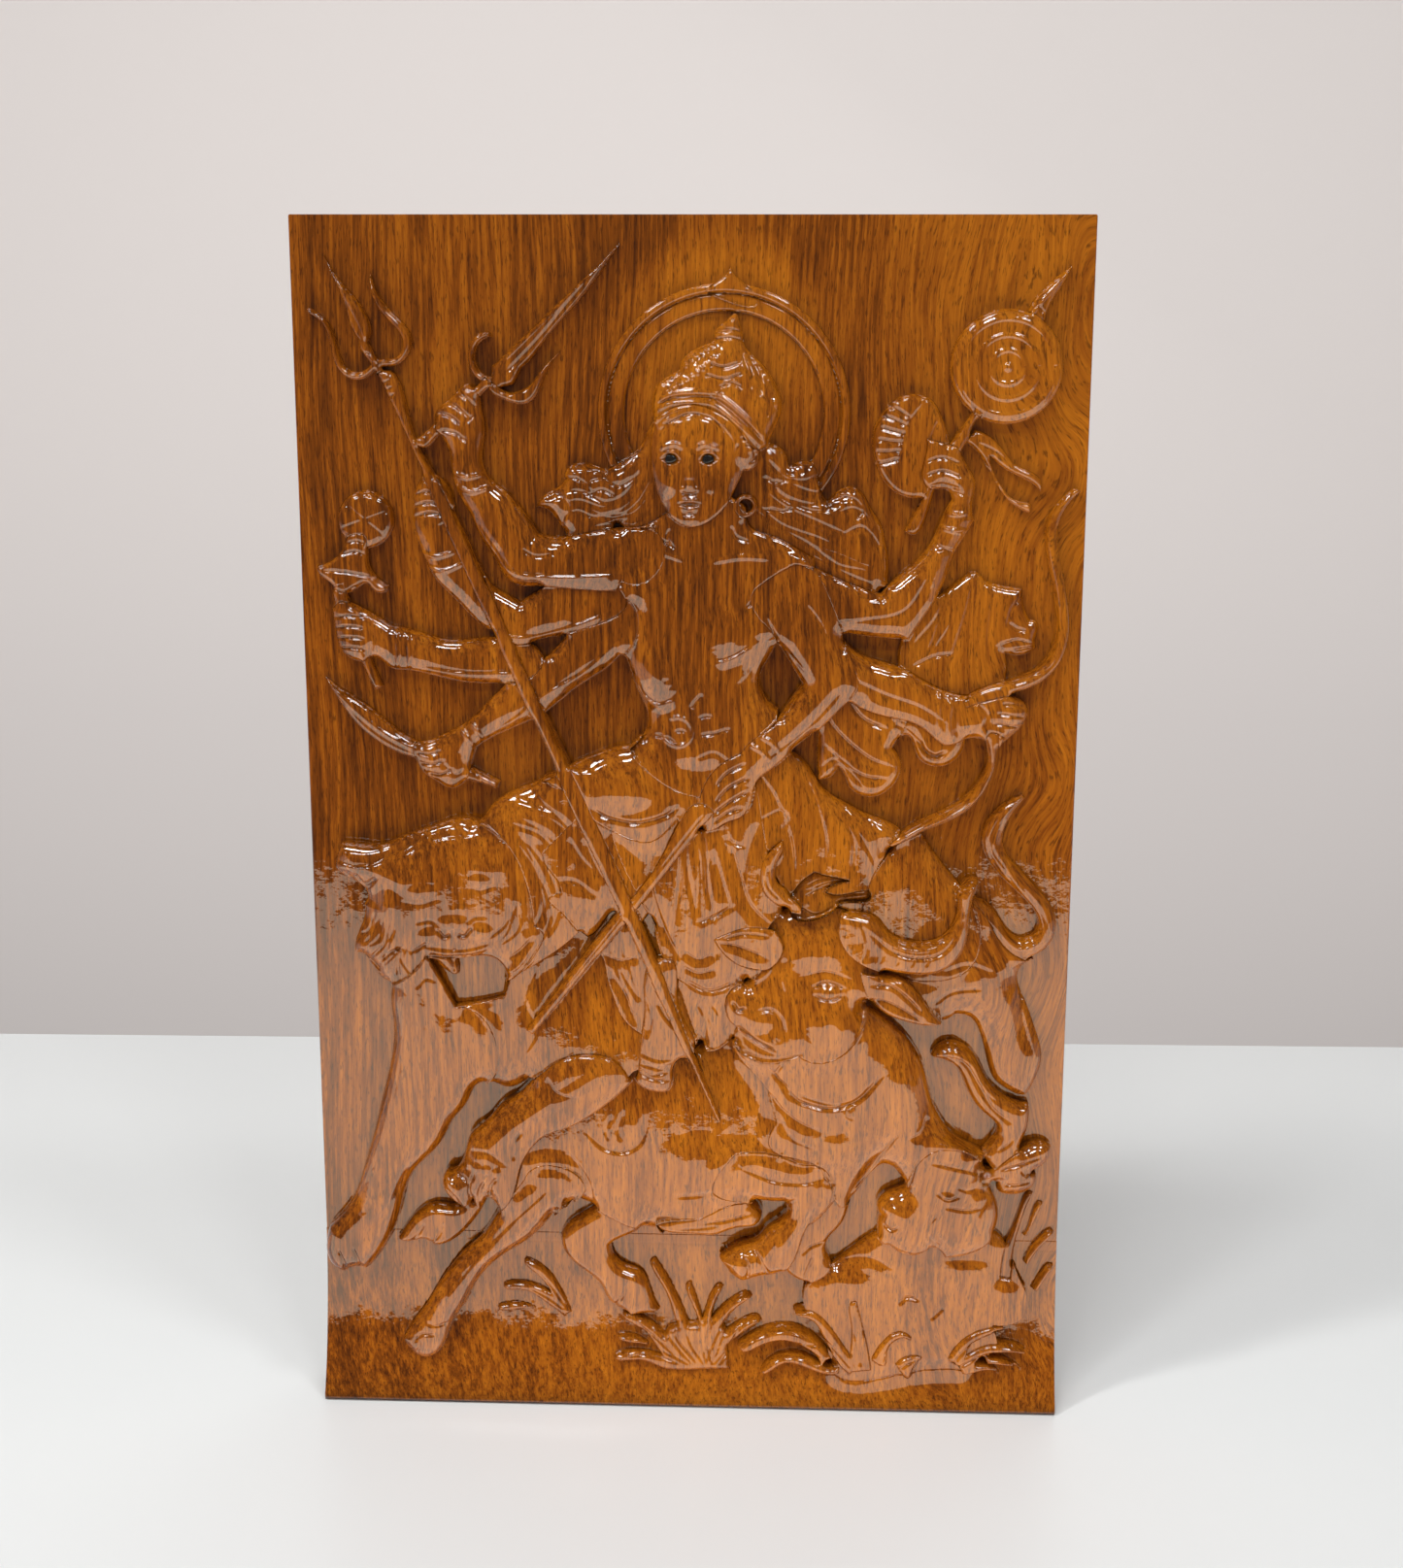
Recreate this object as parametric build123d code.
from build123d import *
import math
import os

os.makedirs("parts", exist_ok=True)

# Carved wooden relief panel. Millimetres, +Z up, the carved face looks along -Y.
WIDTH = 300.0            # panel, left to right
HEIGHT = 475.0           # panel, foot to top
BOARD = 15.0             # wood left behind the carved ground
RELIEF = 15.0            # depth of the carving, ground to the old face of the plank
COVE_TOP = 70.0          # height at which the ground starts to sweep out to the foot
FOOT_BEVEL = 1.5         # worn lower front edge


def loop(*runs):
    """Closed outline: each run is a smooth curve, and the outline turns a corner between runs."""
    edges, start, here = [], runs[0][0], None
    for k, run in enumerate(runs):
        pts = list(run) if here is None else [here] + list(run)
        if k == len(runs) - 1:
            pts.append(start)
        edges.append(Line(*pts) if len(pts) == 2 else Spline(*pts))
        here = pts[-1]
    return make_face(Wire(edges))


def blob(*pts):
    """Closed outline that is smooth all round."""
    return make_face(Wire([Spline(*pts, periodic=True)]))


def disc(x, z, r):
    return make_face(Wire([Edge.make_circle(r, Plane((x, z, 0)))]))


def band(*stations):
    """Strip along a curved centre line of (x, z, width) stations, squared off at both ends."""
    left, right = [], []
    for k, (x, z, w) in enumerate(stations):
        ax, az = stations[max(k - 1, 0)][:2]
        bx, bz = stations[min(k + 1, len(stations) - 1)][:2]
        run = math.hypot(bx - ax, bz - az)
        nx, nz = -(bz - az) / run * w / 2, (bx - ax) / run * w / 2
        left.append((x + nx, z + nz))
        right.append((x - nx, z - nz))
    return loop(left, [right[-1]], right[-2::-1])


def slope(z_a, y_a, z_b, y_b):
    """Carving depth that changes evenly with height, from y_a at z_a to y_b at z_b."""
    return ("slope", z_a, y_a, z_b, y_b)


nodes = []


def piece(name, depth, *faces):
    nodes.append((name, depth, list(faces)))


# ---- front to back: an outline that comes earlier lies in front of the ones after it ----
piece("eyes", 13.2, blob((-8.6, 386), (-6.5, 387.5), (-4.4, 386), (-6.5, 384.8)))
piece("eyes", 13.2, blob((5.4, 386), (7.5, 387.5), (9.6, 386), (7.5, 384.8)))
piece("earring", 11.0, disc(21.5, 368.5, 4.4) - disc(21.5, 368.5, 2.3))
piece("trident_shaft", slope(417, 5.5, 200, 14.5),
      loop([(-117.6, 416.8), (-100.0, 377.2), (-70.5, 308.8), (-43.8, 248.5), (-21.0, 197.5), (0.6, 148.9),
            (11.6, 125.0)],
           [(12.7, 123.4), (12.6, 125.6)],
           [(2.6, 151.8), (-15.9, 200.1), (-38.3, 251.0), (-65.7, 311.2), (-96.4, 379.0), (-105.3, 398.6),
            (-114.4, 418.2)]))
piece("spear_shaft", slope(250, 14.0, 160, 13.6),
      band((8, 252.5, 5), (-8, 231.5, 5), (-27, 206.6, 5), (-45, 183.3, 4.6), (-63, 160, 3.4)))
piece("spear_arm", slope(346, 10.5, 300, 13.2), loop(
    [(25, 337), (33, 343), (40, 346.8)],
    [(47, 344.5), (53, 335), (58, 322), (62, 310), (64.7, 300.4), (58.8, 292.1), (51.8, 284.5), (43.5, 277.4),
     (35.3, 270.4), (28.2, 264.8)],
    [(25.3, 259.8), (23.5, 252.7), (20.6, 249.2), (14.7, 246.8), (10, 243.9), (6, 243.3)],
    [(4.4, 248.5), (6.5, 261.5), (9.6, 266.5), (14.7, 270.9), (20.4, 274)],
    [(23.6, 278), (31.8, 284.5), (37.6, 292.1), (43.4, 300.4)],
    [(40.5, 305.5), (34, 315.8)],
    [(28, 325), (24, 331)]))
piece("sword_arm", slope(400, 8.0, 340, 10.0), loop(
    [(-96.3, 399.8), (-95.5, 403.3), (-90.8, 407.4), (-86.7, 411.5), (-83.6, 413.4), (-79.6, 410.4),
     (-78.2, 404), (-77, 397), (-78.5, 387), (-76, 378.5), (-70.1, 373.5), (-65.4, 368.6), (-60.7, 362.5),
     (-57.4, 357.2)],
    [(-50, 356), (-40, 357.5), (-28, 359.5), (-14, 360)],
    [(-9, 350), (-14, 341), (-25.6, 340)],
    [(-27.6, 336)],
    [(-42, 336.4), (-56, 337.2), (-66, 337.5), (-70.5, 340.5), (-74.4, 347.8), (-79, 354.5), (-83.5, 364),
     (-87.6, 371.5), (-90.2, 380), (-91.2, 388), (-94, 394)]))
piece("sword_hilt", 7.0, band((-102, 390.8, 4.6), (-95, 396.8, 4.4), (-84, 406.6, 4), (-75, 414.4, 4)))
piece("sword_hilt", 6.6,
      band((-74.5, 431.2, 1.6), (-78.5, 430.2, 3.2), (-81.4, 426, 3), (-81.8, 421.5, 3), (-79.4, 416.6, 3.4),
           (-74, 414.6, 3)),
      loop([(-75.5, 414), (-74, 409), (-70.1, 407.2), (-66, 405.7), (-61.3, 405.7), (-57.8, 408.4), (-55.2, 413.3),
            (-52.6, 419.6), (-48.7, 425)],
           [(-52.6, 421.6), (-56.5, 417.6), (-60.1, 412.9), (-63.8, 410.9), (-67.8, 410.2), (-71.5, 412)]))
piece("sword_blade", 5.6, loop(
    [(-74.5, 419.6), (-26, 464.4)],
    [(-32.5, 454.5), (-37.8, 447.4), (-43.6, 440.9), (-53.6, 429.8), (-58.4, 423.3), (-62.9, 418.9)],
    [(-66, 413)], [(-73, 412.6)]))
piece("trident_arm", 7.4, loop(
    [(-101.6, 378.6), (-99.6, 379.8), (-94, 377.7), (-90.4, 372), (-89.4, 364)],
    [(-87, 357), (-81.4, 348), (-76, 338), (-71.3, 334.6), (-64.8, 331)],
    [(-50, 339), (-28, 339)],
    [(-24, 330), (-38, 322), (-50, 317.4)],
    [(-58.4, 316), (-66, 314.9), (-71, 317.5), (-78.5, 320.8), (-84.4, 325.6), (-91, 332.6), (-98, 340),
     (-102.4, 350), (-105.3, 358), (-105.8, 366), (-104.6, 373.5)]))
piece("trident_head", 5.2,
      loop([(-136.9, 460.6), (-132.6, 453.3), (-127.6, 447.6), (-122.4, 440.8), (-119.7, 434.5), (-121.2, 427.6)],
           [(-123.6, 428.2)],
           [(-127.4, 434.4), (-129.9, 443.3), (-132.6, 449.9)]),
      band((-123, 429.5, 3), (-119.6, 422.6, 3.6), (-116.2, 416.4, 3.6)),
      band((-143.4, 440.8, 0.6), (-138.8, 437.5, 2), (-135.2, 432, 2.2), (-133.6, 425.6, 2.6), (-131.6, 419.6, 3),
           (-127.6, 416.2, 3.2), (-122.4, 416.6, 3.2), (-117, 420.4, 3.4), (-111.6, 421, 3.2), (-107.4, 424.2, 3.2),
           (-106.2, 429.4, 3.8), (-108.8, 434.4, 3.6), (-113.2, 438.8, 3.4), (-116.8, 443.8, 3),
           (-118.6, 448.6, 1.8), (-119.5, 453.2, 0.5)))
piece("mace_arm", 7.0, loop(
    [(-138, 327.6), (-132.6, 330.6), (-126.5, 328.2), (-120.6, 325), (-114.9, 321.4)],
    [(-105, 319), (-96, 316.4), (-78, 317), (-64, 316.5)],
    [(-56, 309), (-64, 300)],
    [(-74, 299.1), (-90.2, 299.8), (-102, 302.6), (-109.6, 303.9), (-115.5, 304.6), (-119.6, 307.8),
     (-124.4, 309)],
    [(-129, 307.4), (-133.8, 310.4), (-136.7, 317.4)]))
piece("mace_handle", 5.4, band((-134.6, 337, 3.6), (-129.5, 320, 4), (-124.6, 306, 4.2), (-120.6, 296.6, 3.6)))
piece("mace_handle", 6.0, loop(
    [(-131, 355.5), (-134, 349.6), (-143.2, 344.4)],
    [(-142.6, 341.2), (-138.2, 337.5), (-136.2, 334.2)],
    [(-132, 333.6), (-128, 335.4), (-124.2, 337.4), (-121.6, 334.8), (-117.6, 333.8), (-115.4, 336.8)],
    [(-119.4, 339.4), (-122.6, 343.6), (-123.8, 355.5)]))
piece("mace_head", 5.6, disc(-123.8, 362, 11))
piece("dagger_arm", slope(330, 8.4, 265, 7.4), loop(
    [(-106.9, 275.6), (-101, 276.6), (-93.6, 280), (-85.8, 284.6), (-78, 292.2), (-70.1, 299.8), (-63.6, 304.5),
     (-57.4, 308), (-50.1, 315.1), (-40.7, 325.6), (-31.3, 334)],
    [(-22, 332), (-20, 318), (-26.6, 310.4)],
    [(-34.8, 303.3), (-43.1, 298), (-51.5, 291.2), (-60.7, 285.1), (-70.1, 280.9), (-82.6, 274)],
    [(-84.6, 268), (-87.3, 260.8), (-92.8, 257.2), (-99.1, 260), (-104.5, 264), (-107, 269.2)]))
piece("dagger", 6.2, band((-91, 266.2, 3.6), (-82, 261.8, 4.6), (-74.6, 258.6, 3.6)))
piece("dagger", 5.2, loop(
    [(-141.9, 301), (-134.4, 295.8), (-123.8, 288.6), (-115.5, 281.6), (-104, 275)],
    [(-102, 268.8)],
    [(-111.4, 270.2), (-120.2, 274.6), (-128, 280.6), (-135.5, 290.2)]))
piece("crown", slope(440, 6.5, 395, 12.4), loop(
    [(-12.6, 412.9), (-9, 415.8), (-3.8, 418.8)],
    [(-2.6, 422.6), (2.6, 426.6), (9, 429.4)],
    [(10, 433.4), (13.4, 436.6), (17.3, 439.2), (19.2, 434.8), (20.2, 431)],
    [(21.2, 426.8), (25.6, 422.6), (30.4, 417), (33.4, 411.6), (35, 405), (33, 398.4), (30, 391.4)],
    [(24.6, 390), (21, 394), (14, 401.2), (5.9, 405.1), (1, 405.9), (-5.4, 404.8), (-9.6, 402.6), (-13, 399.4)],
    [(-14.4, 406)]))
piece("head", 13.0, loop(
    [(-13, 401), (-14.6, 392), (-14, 382), (-11.6, 372.6), (-7, 365), (0.6, 360.8), (8.4, 363.4), (14.4, 369.2),
     (18.6, 377), (20.6, 381.6)],
    [(24.8, 383), (26.4, 388), (24.6, 392.6), (20.8, 393.4)],
    [(17, 402), (0, 411)]))
piece("bow", slope(374, 4.6, 290, 9.2),
      band((147, 374.4, 1.4), (141.4, 369.8, 3.6), (137.7, 363, 4.8), (137.2, 354, 5), (139.4, 343, 5),
           (141.8, 331, 5), (142.4, 320, 5.2), (139.6, 310.6, 5.4), (133.6, 304, 5.6), (125, 300.2, 5.4),
           (115, 297.6, 5), (105.6, 293.2, 3)),
      band((116.8, 282, 3.6), (117, 271, 3.8), (114.4, 262.6, 4), (109.2, 255, 4.6), (101, 249.2, 4.6),
           (91, 244.6, 4.2), (83.5, 240.4, 3.4), (78.4, 236.8, 2)))
piece("bow_arm", slope(318, 10.6, 285, 10.0), loop(
    [(50, 324), (58.8, 318), (62.9, 313.9), (68.8, 310.6), (76.5, 308.3), (84.8, 305.1), (92, 300.9),
     (99, 297.8), (105.8, 296.2)],
    [(112, 297), (120, 296.6), (127.2, 295.1), (130.2, 291.6), (129.5, 286.8), (124.6, 280.6), (119.8, 276.2)],
    [(113.6, 278.9), (106, 279), (98.9, 277.2), (92, 282.3), (84, 286.6), (74, 288.9), (63.5, 293), (55, 299)],
    [(48, 312)]))
piece("axe_arm", slope(345, 10.4, 385, 8.2), loop(
    [(38, 346), (47.5, 345.4), (55.6, 341.6), (66, 337.4), (73, 335.3)],
    [(78.4, 341), (86, 347.6), (91.6, 355.2), (95.4, 364.2), (98.6, 370.8)],
    [(96.6, 374.4), (91, 375), (87.8, 378.8), (88.2, 385), (88.7, 393.8)],
    [(94, 392.2), (100.4, 390.2), (104.2, 384.5), (107.8, 377.4), (107, 370), (107.9, 363.3)],
    [(104.6, 357.5), (100.2, 349.5), (97.6, 341), (92.5, 331), (88.9, 325.6), (84, 317.8)],
    [(70.6, 318.4), (60, 319.8), (48, 322)], [(40, 336)]))
piece("shield", 6.4, band((98.6, 389, 5), (103.8, 397, 4), (107.4, 402.6, 4)))
piece("axe", 6.2, band((82.8, 358, 3.6), (90, 371, 3.6), (97, 383.4, 3.6)))
piece("axe", 6.4, loop(
    [(69, 397.6), (71.6, 402), (75.4, 406.8), (79.5, 409.4), (85, 410), (90, 408.4), (94, 403.4), (97.4, 395)],
    [(96, 384), (91, 373)],
    [(86.6, 371.2), (80, 372), (74.8, 375.6), (71.2, 380.9), (69, 388)]))
piece("shield", 6.2, disc(118.2, 420, 21.2))
piece("shield_spear", 5.0, loop(
    [(122, 433), (128, 445), (134.2, 451.6), (141.1, 456.4)],
    [(137.8, 449.2), (133.4, 442), (128, 430)]))
piece("ribbons", 4.2,
      loop([(103.8, 392), (107, 397)],
           [(112.5, 394.6), (118, 389.4), (123, 383.8), (128.2, 381.6), (132.2, 378.4), (132.5, 373.8)],
           [(128.4, 377.2), (121.5, 380.6), (115.8, 384.2), (112.6, 388)],
           [(115, 380.6), (119, 374.2), (123.6, 370.4), (128.8, 369.2), (128.6, 365.6)],
           [(123.4, 368), (118.6, 372.4), (114.4, 378.8), (110, 386)]))
piece("torso", slope(360, 11.4, 265, 12.2), loop(
    [(-28, 361), (-14, 362), (-8, 366), (22, 368)],
    [(24, 360), (33, 356.6), (41, 352.4), (47.5, 348.6)],
    [(44, 330), (34, 318)],
    [(30.4, 309.6), (27.3, 301.5), (29, 296), (34.6, 290.4)],
    [(26, 268), (16, 256)],
    [(-10, 262), (-22.6, 275.4)],
    [(-19.2, 278.4), (-16.4, 283.4), (-17, 291), (-20.4, 298.6), (-24, 309), (-27.6, 316.4)],
    [(-33, 322)]))
piece("lap", 12.8, loop(
    [(-58, 262), (-50, 266.4), (-43.1, 269.2), (-34, 273), (-22.6, 275.6)],
    [(0, 285), (24, 275), (18, 252)],
    [(6, 243), (-1, 244.6), (-4.2, 248.2)],
    [(-7.8, 243.9), (-11.6, 240.4), (-15.6, 238.6), (-20.6, 239.2), (-27, 241.8), (-33, 244.8), (-38.2, 249)],
    [(-43, 255)]))
piece("lion_raised_leg", 14.4, loop(
    [(-57.4, 143.4), (-52, 147.6), (-45, 150.3), (-37, 150.6), (-30, 148.8), (-25, 143.4), (-22.6, 139.6)],
    [(-26, 135.9), (-32, 130.6), (-40, 124.8), (-49, 119.8), (-58.5, 116), (-63.4, 111), (-67.6, 103.4),
     (-69.6, 95), (-72.4, 88), (-76.4, 83.4)],
    [(-79.6, 86.4), (-80.8, 91)],
    [(-82.2, 86.6), (-84.2, 82.8)],
    [(-86.4, 85.4), (-87.6, 88)],
    [(-90, 85), (-93.2, 84.6)],
    [(-98.6, 89.4), (-100.2, 94.6), (-98, 99)],
    [(-94.6, 99.8), (-92, 103.4), (-90.4, 108.6), (-88.6, 114), (-83.4, 118.8), (-80, 122.4), (-75, 128),
     (-70, 131), (-64, 137)]))
piece("buffalo_horns", 13.4, loop(
    [(36.6, 239), (33.6, 236.6), (30.4, 233), (28.6, 228), (29, 221), (32.4, 215.6), (37.6, 212.4), (44, 211)],
    [(43.6, 213.6), (40.2, 216.4), (38.2, 219.4), (35.4, 221.6), (34, 225.6), (34.6, 231), (36.4, 235)]))
piece("buffalo_horns", 14.6, loop(
    [(60, 211.4), (68, 210.4), (74, 208), (78.6, 202.6), (85, 199.4), (93, 199), (99, 201), (103, 205.4),
     (105, 212), (104.6, 218)],
    [(106.6, 221.6), (110, 224), (113.2, 223.6)],
    [(112.4, 219.6), (110.2, 213), (109.6, 205), (108, 197), (104, 191), (98, 187), (90, 186), (80, 187), (70, 190)],
    [(60, 200)]))
piece("buffalo_head", 14.6, loop(
    [(39.6, 215.4), (43.4, 221.6), (49.4, 226.4)],
    [(53.6, 225), (58, 224.2), (63, 223)],
    [(57, 221), (53.4, 218.4)],
    [(60, 217.4), (65.6, 218.6), (70.4, 219.2)],
    [(71, 215.4), (64, 214.4), (58.4, 213)],
    [(50, 208), (42, 208)]))
piece("buffalo_ears", 12.0, loop(
    [(10.4, 199.4), (16, 202), (22, 204), (28, 204.2), (34, 203)],
    [(37, 196), (32, 188)],
    [(25, 187.4), (19.6, 189.4), (14.6, 193.4)]))
piece("buffalo_ears", 14.4, loop(
    [(68, 187), (76, 185.6), (83, 184.6), (88.4, 180.8), (93, 174.6), (97.6, 168.4), (100.4, 165.6)],
    [(93, 164.4), (86, 166), (79, 168.4), (73.6, 172.6), (70, 179)]))
piece("buffalo_head", 15.0, loop(
    [(31, 203), (33.4, 207.4), (38, 210.8), (46, 212.6), (55, 213), (64, 210.6), (71, 206), (76, 199),
     (76.6, 190), (74.6, 182), (71, 175), (69.6, 167), (67, 160), (60, 152.6), (51, 150), (44, 152.8)],
    [(38, 150.4), (31, 149.4), (24.6, 151.4), (19.8, 154.6), (18.2, 159.4), (19.4, 163.2)],
    [(16, 166.6), (14.8, 171.4), (16.6, 177.6), (21, 180)],
    [(26.6, 184), (30, 189.6), (31, 196)]))
piece("foot", 13.0, loop(
    [(-15, 190), (-17.4, 180), (-17.2, 168), (-19, 156), (-19.6, 146), (-21.2, 140.4)],
    [(-18, 137), (-12, 135.4), (-8, 136), (-6.4, 140), (-6, 145.4), (-3.2, 149), (1, 148)],
    [(3, 155), (-4, 172), (-6, 190)]))
piece("skirt_front", 11.4, loop(
    [(-30, 262), (24, 268), (28.6, 246), (33.4, 226)],
    [(36.4, 209), (34.6, 202), (31, 189)],
    [(25, 183), (18, 180.2), (10, 177.4), (3.6, 178.4), (-2.6, 182), (-7.4, 186.6), (-10, 192), (-12.6, 203),
     (-18, 214), (-26, 230)]))
piece("skirt_front", 9.6, loop(
    [(-13, 206), (-9.4, 189), (-3.2, 177), (0.6, 166), (4.6, 156.6), (7.4, 152.8)],
    [(11.6, 153.4), (15.4, 156.2), (19, 159)],
    [(22, 172), (20, 186), (0, 196)]))
piece("knee", 12.0, loop(
    [(-36, 256), (-44.6, 246), (-50.6, 240), (-56.6, 233.6)],
    [(-55, 228), (-50.6, 222), (-49.8, 217.6)],
    [(-54.6, 214.6), (-49.6, 209.8), (-44.4, 203.4), (-40, 199.2)],
    [(-36, 201.6), (-29.6, 209.6), (-26, 205)],
    [(-18, 206), (-13, 216), (-16, 246)]))
piece("skirt_corner", 9.8, loop(
    [(-27, 208), (-33, 199.6), (-36.6, 194.4)],
    [(-33.6, 190.6), (-32, 183), (-29.6, 175), (-26.4, 167), (-21.6, 161.4), (-17.2, 159)],
    [(-13, 172), (-14, 192)]))
piece("fallen_head", 10.6,
      loop([(117, 104.6), (122, 103.8), (127, 107.6), (133.6, 112.4), (140, 114.8), (145.4, 112.8)],
           [(144.4, 107.4), (141.6, 104.2), (135, 101), (128, 99.2), (118, 98)]),
      loop([(126, 100.6), (134, 101), (139.8, 101.4)],
           [(139.4, 96.6), (136.4, 93.6), (131, 92), (126, 92.6)]))
piece("fallen_head", 13.0, loop(
    [(91, 106), (94, 110), (98.6, 113), (104.6, 114), (111.4, 112.6), (117, 108.6), (119.6, 102), (121.4, 96),
     (124.6, 89), (125, 80), (121, 72), (113, 67.6), (104, 66)],
    [(98.6, 69.8), (94.6, 67.4), (90, 66.6), (85.4, 68), (81.6, 70.8)],
    [(77.6, 72.6), (76.4, 77.4), (77.2, 83)],
    [(76.8, 88.6), (81, 92.4), (87, 95.4), (89.4, 100)]))
piece("lion_head", 13.8, loop(
    [(-139.6, 226), (-138.6, 231), (-136.6, 235.6)],
    [(-129, 235), (-121, 234.8), (-114, 237.6), (-107.6, 240.2), (-100, 243), (-92, 245.6), (-84, 245.4)],
    [(-76, 242), (-69, 235), (-64.6, 226), (-61.4, 214), (-60.4, 204)],
    [(-57, 201.4), (-59, 195), (-64, 187.4), (-72.6, 180.2)],
    [(-72.4, 185), (-77, 190), (-86, 190.4), (-92, 189.6)],
    [(-92.6, 183), (-97.6, 186), (-103.4, 191)],
    [(-109, 184), (-117.4, 178.6)],
    [(-122.6, 180.6), (-127.4, 187.6), (-132.8, 191)],
    [(-132.4, 196), (-129.6, 203), (-128.6, 211)],
    [(-127.2, 215.2), (-133, 220.4)]))
piece("lion_mane", 12.0, loop(
    [(-90, 243), (-81.4, 245.8), (-77, 251.6), (-70.1, 256.2), (-62, 259.8), (-52, 264.4), (-40, 268)],
    [(-30, 235), (-34, 214), (-47, 198), (-58, 190)],
    [(-66, 186), (-64, 205), (-70, 230)]))
piece("buffalo_foreleg", 13.6, loop(
    [(19, 110.4), (28, 111), (38, 109.2), (46, 106.4), (52, 105.6), (54.6, 101)],
    [(57.8, 94.6), (56, 88.6), (50.4, 82.6), (46.6, 75.6), (44, 66.6), (40.6, 60.4)],
    [(36, 57), (29, 55.6), (21, 54), (16.4, 57.6), (12.6, 63)],
    [(15.4, 65.6), (21, 69), (27.6, 71.6), (31.4, 76), (36, 79.4), (39.6, 84), (38.6, 88.4)],
    [(30, 88.6), (22, 89.6), (14, 91)]))
piece("buffalo_neck", slope(160, 13.6, 95, 12.6), loop(
    [(17.4, 157), (21, 150.6), (26, 145), (31, 139), (34, 131), (35.6, 124)],
    [(34, 112), (50, 107), (58, 96)],
    [(64, 88), (67, 91), (72, 98.4), (78, 104.4)],
    [(84, 101.6), (87, 97.6), (92, 96)],
    [(112, 100), (118.6, 110.4)],
    [(112, 113.6), (107, 116.6), (102.6, 121.6), (98.8, 128.6), (96, 137), (94, 145), (90.4, 153), (84.6, 160.4),
     (76, 168)],
    [(60, 175), (36, 170)]))
piece("buffalo_far_foreleg", 11.6, loop(
    [(-13, 78.6), (-5, 80.6), (4, 81.6), (12, 85.6), (24, 88.8)],
    [(28, 86), (30, 82)],
    [(27.4, 77.6), (20, 76.4), (12, 73.4), (0, 73.4), (-10, 74.6)]))
piece("buffalo_hind_leg", 13.0, loop(
    [(-66, 98), (-70.4, 92), (-76, 84), (-80.4, 77), (-85, 70), (-92, 63.4), (-98, 56), (-103.4, 48), (-108, 40),
     (-113, 33.4), (-117.6, 25.4)],
    [(-114.6, 21.4), (-109.6, 18.2), (-104.4, 19.4), (-100.6, 24), (-97.4, 32.4), (-92.6, 40), (-88.6, 47.4),
     (-83.6, 55), (-75.6, 62.4), (-65.6, 69.2), (-58.6, 76), (-52.6, 83.6), (-47, 87.4)],
    [(-42, 96), (-54, 104)]))
piece("buffalo_body", 11.4, loop(
    [(-70, 86), (-66, 112), (-40, 130), (-22, 144)],
    [(0, 152), (20, 158)],
    [(50, 130), (62, 95)],
    [(40, 86), (38.5, 88.2), (25, 88.2)],
    [(28, 84), (27.4, 79)],
    [(17, 76.4), (4, 74.6), (-10, 74.4), (-22, 76.2), (-34, 82), (-47, 87.6)],
    [(-60, 80)]))
piece("buffalo_far_foreleg", 9.6, loop(
    [(52, 96), (60, 93), (65.4, 89.2)],
    [(64.6, 83.4), (61.4, 77), (57, 71.4), (56.6, 65), (58.4, 60), (54.6, 55.6), (48.4, 53.2), (42.6, 54.8)],
    [(38, 60), (44, 80)]))
piece("buffalo_far_leg", 8.6, loop(
    [(-52.4, 70.6), (-48.4, 76.6), (-43.6, 80), (-36, 84), (-26, 80)],
    [(-20, 74), (-26, 70.6), (-31.6, 67)],
    [(-30.6, 62), (-26, 57.8), (-20, 55.4), (-16, 48), (-12, 39)],
    [(-20, 37.4), (-28.6, 39.8), (-33.4, 43.6), (-36, 49), (-42, 54.6), (-48.6, 60), (-51.6, 65)]))
piece("lion_foreleg", 12.6, loop(
    [(-104, 192), (-112, 185), (-118.4, 177), (-118.6, 162), (-120, 146), (-124, 130), (-128.4, 113), (-132.6, 99),
     (-136, 89), (-141.4, 80.4), (-147.2, 73.6)],
    [(-149, 66), (-147.6, 58.4), (-141.2, 54)],
    [(-137, 56), (-132, 55.4)],
    [(-126.4, 62), (-121.6, 71), (-118.4, 80), (-116, 89), (-112, 97.6), (-104.6, 105.8), (-99.4, 112.4),
     (-95.6, 120), (-89.4, 128), (-85.4, 135.4), (-81, 137)],
    [(-76, 150), (-84, 168), (-92.4, 170.2)],
    [(-97, 179)]))
piece("lion_body", 11.0, loop(
    [(-92.6, 170.2), (-84, 171.6), (-73, 174.2)],
    [(-68, 192), (-50, 230), (-20, 230), (8, 172), (2, 152), (-22, 140)],
    [(-40, 140), (-56, 144)],
    [(-64, 138.4), (-72, 134.2), (-80, 136.8), (-88, 139.6)],
    [(-96, 160)]))
piece("lion_body", 6.0, loop(
    [(-106, 194), (-98, 180), (-91, 168)], [(-70, 172)], [(-68, 190)], [(-88, 196)]))
piece("lion_far_paw", 7.6, loop(
    [(-119.6, 68), (-116, 73.6), (-111, 79.6), (-104, 83), (-96, 82.6), (-90, 86)],
    [(-84, 84), (-87.6, 76.6), (-93, 70.4), (-99, 66.2), (-105, 65.2)],
    [(-108.6, 67.6), (-114, 66.6)]))
piece("skirt_right", 8.6, loop(
    [(20, 270), (36, 275), (50, 262)],
    [(56.5, 255.6), (62.9, 252.1), (70.6, 248.3), (76, 246.3), (82.5, 242.6)],
    [(78, 235), (75.4, 230.6)],
    [(71, 222), (66, 208), (40, 205), (26, 215)],
    [(24, 240)]))
piece("lion_haunch", 7.0, loop(
    [(66, 215), (76, 231), (89.4, 243.8)],
    [(97, 232), (106, 221)],
    [(112, 212), (112, 190), (80, 185)]))
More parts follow.
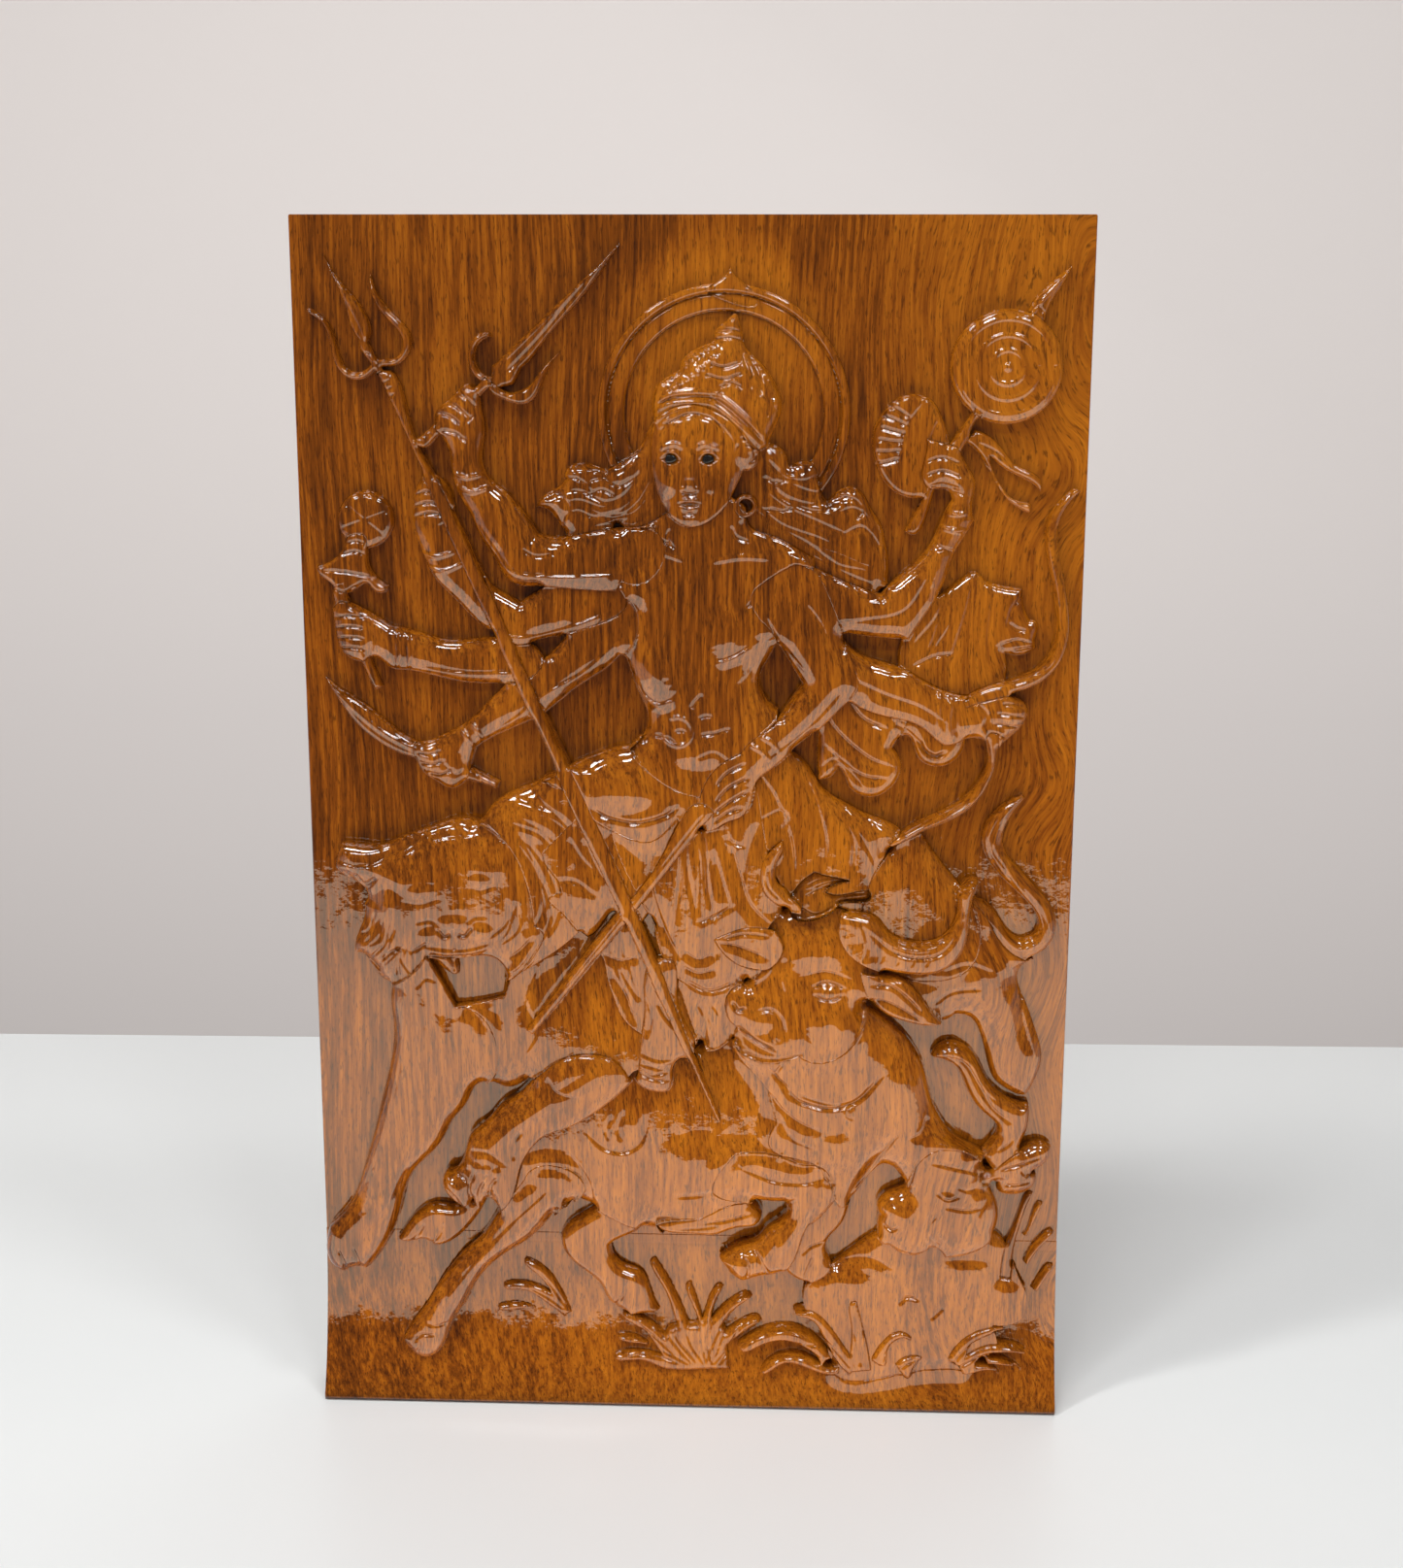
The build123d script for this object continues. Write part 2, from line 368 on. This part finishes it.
piece("lion_hind_leg", 9.0, loop(
    [(96.6, 150), (99, 154.4), (105, 156.4), (111, 153.8), (116, 147.4), (120, 139.8), (126, 134), (136, 130.6)],
    [(136.4, 123), (134.4, 116), (131, 109)],
    [(122, 104), (117.6, 110.6)],
    [(121.6, 115.6), (123.4, 120.6), (119, 126), (113.4, 132), (109.6, 140), (106, 146.4), (101, 149)]))
piece("lion_haunch", 8.2, loop(
    [(111, 214), (117.4, 207), (121, 200.4), (128, 193), (136, 190.6)],
    [(130, 184.6), (133, 174), (138.4, 160), (140.6, 150), (139, 142.4), (136.4, 136.4)],
    [(134.6, 134.2), (127, 136.4), (122.4, 140), (118.8, 149), (116.4, 158), (112.4, 165.6), (106, 167.4)],
    [(99, 164.6), (88, 175), (84, 188)], [(102, 196)]))
piece("lion_tail", 6.4, band(
    (108, 214, 6), (113.6, 212, 6.4), (119, 206, 7), (123, 199.6, 7.6), (129.6, 195.4, 8), (136.4, 196.8, 8),
    (140.4, 202.6, 7.6), (139.6, 210, 7), (134.6, 217, 7), (127, 224.4, 7.4), (120.6, 232, 7.8),
    (118.4, 241, 8.4), (122, 249, 6.4), (130, 256.4, 1.6)))
piece("scarf", 8.0, loop(
    [(50, 300), (50, 288), (49.6, 276), (50.2, 262.6)],
    [(54.7, 263.1), (58, 267.4)],
    [(60, 264.6), (62, 259.6), (66.6, 256.2), (73.5, 256), (79, 259.8), (82.3, 266), (81.6, 271.6), (79, 275.4)],
    [(84, 292)]))
piece("scarf", 6.8, loop(
    [(76, 290), (77.4, 275), (80.6, 278.4), (84.4, 279.8), (86.8, 276), (89.6, 270), (94.6, 267.8), (100.4, 268.6),
     (105, 272.4), (107, 277.4)],
    [(104, 286)]))
piece("back_cloth", 4.6, loop(
    [(80, 312), (90, 330), (98.5, 337), (103.6, 341.2), (108.4, 343.6), (113, 340.2), (118, 338.4), (127, 337)],
    [(127.6, 331), (130, 325.4)],
    [(133.4, 323.4), (132.6, 318), (133, 314.6)],
    [(128, 311.6), (121, 312.4)],
    [(120, 300), (100, 294), (84, 300)]))
piece("hair_left", 6.6, loop(
    [(-10, 402), (-16, 396), (-19, 390), (-24.5, 385.2), (-31.4, 381.4)],
    [(-36, 383), (-41, 384), (-46, 382.4), (-47.6, 377.6)],
    [(-51, 374.2), (-55.6, 371.4), (-58.4, 367)],
    [(-53, 365), (-50.4, 361.4), (-47.4, 357.6)],
    [(-40, 350), (-6, 355)], [(-4, 380)]))
piece("hair_right", 6.6, loop(
    [(20, 398), (30, 392), (34.4, 390), (37.6, 382.6)],
    [(41, 384.8), (45.4, 384.6), (48.4, 379)],
    [(50, 373.4), (52.4, 370)],
    [(56, 373.8), (61, 375.4), (65.8, 373), (68.6, 368), (72, 363), (74.4, 356), (76, 348), (75.6, 339)],
    [(60, 330), (30, 345)], [(12, 365)]))
piece("halo", 3.6, loop([(6, 447), (9.6, 450.4), (13, 453), (15.2, 456.2)],
                               [(17.4, 452.8), (20.6, 450), (24, 446)]))
piece("halo", 3.4, disc(12.9, 402.6, 47.7) - disc(12.9, 402.6, 37.3))


def arcs(*blades):
    return [band(*b) for b in blades]


piece("grass_left", slope(60, 3.2, 35, 6.0), *arcs(
    [(-67.4, 58.6, 1.0), (-61, 53.4, 4.2), (-54, 44, 4.2), (-50, 36, 3)],
    [(-76.4, 47.6, 1.2), (-68, 47.2, 3.8), (-59, 43.4, 4.6), (-51, 37.4, 4)],
    [(-78.6, 38.6, 0.8), (-71, 38.8, 3), (-63.4, 37.4, 1.4)]))
piece("grass_middle", slope(60, 4.6, 17, 11.4), *arcs(
    [(-14.4, 60, 1.0), (-9.4, 49.6, 3.6), (-4.6, 39, 4.4), (0, 27, 5)],
    [(0.4, 50, 0.8), (2.4, 42, 2.6), (4, 32, 5)],
    [(13.8, 49, 0.8), (9.6, 42.6, 3), (6.6, 33, 5)],
    [(25.8, 45, 0.8), (18, 41.4, 4.2), (10.6, 32, 6)],
    [(29.6, 35.4, 1.2), (21, 32, 4.6), (8, 24, 10)],
    [(-26.6, 37.4, 1.0), (-18, 33, 4.4), (-10.6, 25.6, 6), (-4, 18.4, 5)],
    [(-28.8, 28.2, 1.0), (-22, 26.6, 2.8), (-16.8, 24.8, 1.2)],
    [(-30.2, 19.8, 1.2), (-21, 20.4, 4), (-10, 18, 5.4), (2, 17.4, 5), (16, 20, 9)],
    [(-8, 24, 16), (4, 24.6, 19), (16, 25.6, 14)]))
piece("grass_middle", slope(60, 8.0, 17, 13.6), *arcs(
    [(30, 15.2, 1.0), (38, 20.4, 4), (46, 20.6, 4.6), (54, 17.4, 4), (62, 17, 3)],
    [(21, 25, 3), (30, 29, 5.6), (41, 31, 6), (50, 27.6, 5.6), (57, 20, 5)],
    [(43.4, 40.4, 1), (50, 39.4, 4.4), (56.4, 33, 5.4), (63, 23, 6), (68, 17, 5)],
    [(68, 46, 1.0), (69, 36, 4.4), (70, 26, 7), (71, 17, 8)]))
piece("grass_right", slope(60, 8.2, 17, 13.8), *arcs(
    [(78, 21, 6), (80, 27, 3.6), (86, 32.4, 2.6), (91, 31, 1)],
    [(88, 17.6, 8), (91, 21.4, 5), (95.4, 23, 1)],
    [(110, 21.4, 8), (112, 27.6, 4.6), (119, 33.4, 3), (129, 35.8, 1.2)],
    [(112, 18.6, 5), (118, 24.6, 4.8), (126, 27.2, 4.2), (137.6, 25.6, 1.4)],
    [(112, 18.4, 3.4), (120, 19.4, 3.6), (127, 16.4, 1)],
    [(121, 23.4, 1.6), (128, 21.6, 2.8), (136, 17.6, 1.2)]))
piece("grass_right", slope(92, 3.0, 50, 5.6), *arcs(
    [(139, 91.6, 1.0), (134.6, 82, 2.6), (131, 70, 4.0), (129, 56, 4)],
    [(143.2, 87.4, 1.0), (139.6, 80, 2.2), (136.6, 73, 2)],
    [(148.2, 75, 1.2), (143.4, 70.8, 3.2), (140, 66.4, 3), (137.6, 61, 2)],
    [(148.2, 60.2, 1.0), (144.4, 55.6, 3), (141, 50, 3)]))
piece("foot_sill", slope(64, 6.8, 16, 12.4), loop(
    [(48, 52), (58, 60), (68, 68), (80, 76), (94, 78), (110, 78), (126, 74), (133, 60), (137, 52)],
    [(136, 40.4), (124, 37)], [(122, 20), (108, 17.6), (92, 16.4), (60, 15.4), (56, 30), (48, 42)]))


# ---- solids ----
def stand(shape):
    """Turns a solid drawn in plan, with its depth along +Z, so that its depth points along -Y."""
    return Rot(90, 0, 0) * shape


def carve(face, depth):
    if not isinstance(depth, tuple):
        return stand(extrude(face, depth))
    _, z_a, y_a, z_b, y_b = depth
    rate = (y_b - y_a) / (z_b - z_a)
    low, high = min(y_a, y_b), max(y_a, y_b)
    at = sorted([(z_a, y_a), (z_b, y_b)])
    side = [(-20, 0), (-20, at[0][1]), at[0], at[1], (HEIGHT + 20, at[1][1]), (HEIGHT + 20, 0)]
    section = make_face(Polyline(*[(-d, z) for z, d in side], close=True))
    wedge = Pos(-WIDTH, 0, 0) * extrude(Plane.YZ * section, 2 * WIDTH)
    return stand(extrude(face, high + 1)) & wedge


solids = {}


def cut_back(face):
    """Leaves the part of an outline that nothing in front of it covers."""
    reach = face.bounding_box()
    tools = []
    for other in in_front:
        box = other.bounding_box()
        if (box.min.X < reach.max.X and box.max.X > reach.min.X
                and box.min.Y < reach.max.Y and box.max.Y > reach.min.Y):
            tools.append(other)
    seen = face.cut(*tools) if tools else face
    return [f for f in seen.faces() if f.area > 3]


panel = Rectangle(WIDTH, HEIGHT).face().moved(Location((0, HEIGHT / 2, 0)))
in_front = []
for name, depth, faces in nodes:
    outline = faces[0].fuse(*faces[1:]) if len(faces) > 1 else faces[0]
    box = outline.bounding_box()
    if box.max.X > WIDTH / 2 or box.min.Y < 0:
        outline = outline & panel
    for face in outline.faces():
        for part in cut_back(face):
            solids.setdefault(name, []).extend(carve(part, depth).solids())
    in_front += list(outline.faces())

# foot of the panel: the ground sweeps forward in a hollow curve to the full thickness
cove = make_face(Wire([
    Line((0, COVE_TOP), (0, 0)), Line((0, 0), (-RELIEF + FOOT_BEVEL, 0)),
    Line((-RELIEF + FOOT_BEVEL, 0), (-RELIEF, FOOT_BEVEL)),
    Spline((-RELIEF, FOOT_BEVEL), (-9.2, 15), (-4.2, 33), (-1.1, 52), (0, COVE_TOP))]))
sweep = Pos(-WIDTH / 2, 0, 0) * extrude(Plane.YZ * cove, WIDTH)
foot = Rectangle(WIDTH, COVE_TOP).face().moved(Location((0, COVE_TOP / 2, 0)))
for part in cut_back(foot):
    solids["foot_sill"] += (carve(part, RELIEF) & sweep).solids()

solids["back_board"] = [Pos(0, BOARD / 2, HEIGHT / 2) * Box(WIDTH, BOARD, HEIGHT)]
for name, found in solids.items():
    found = [s for s in found if s.volume > 60]
    solid = found[0] if len(found) == 1 else Compound(children=found)
    solid.label = name
    export_step(solid, "parts/%s.step" % name)
    box = solid.bounding_box()
    print("%-20s %d solid(s)  x %.1f..%.1f  y %.1f..%.1f  z %.1f..%.1f" % (
        name, len(found), box.min.X, box.max.X, box.min.Y, box.max.Y, box.min.Z, box.max.Z))
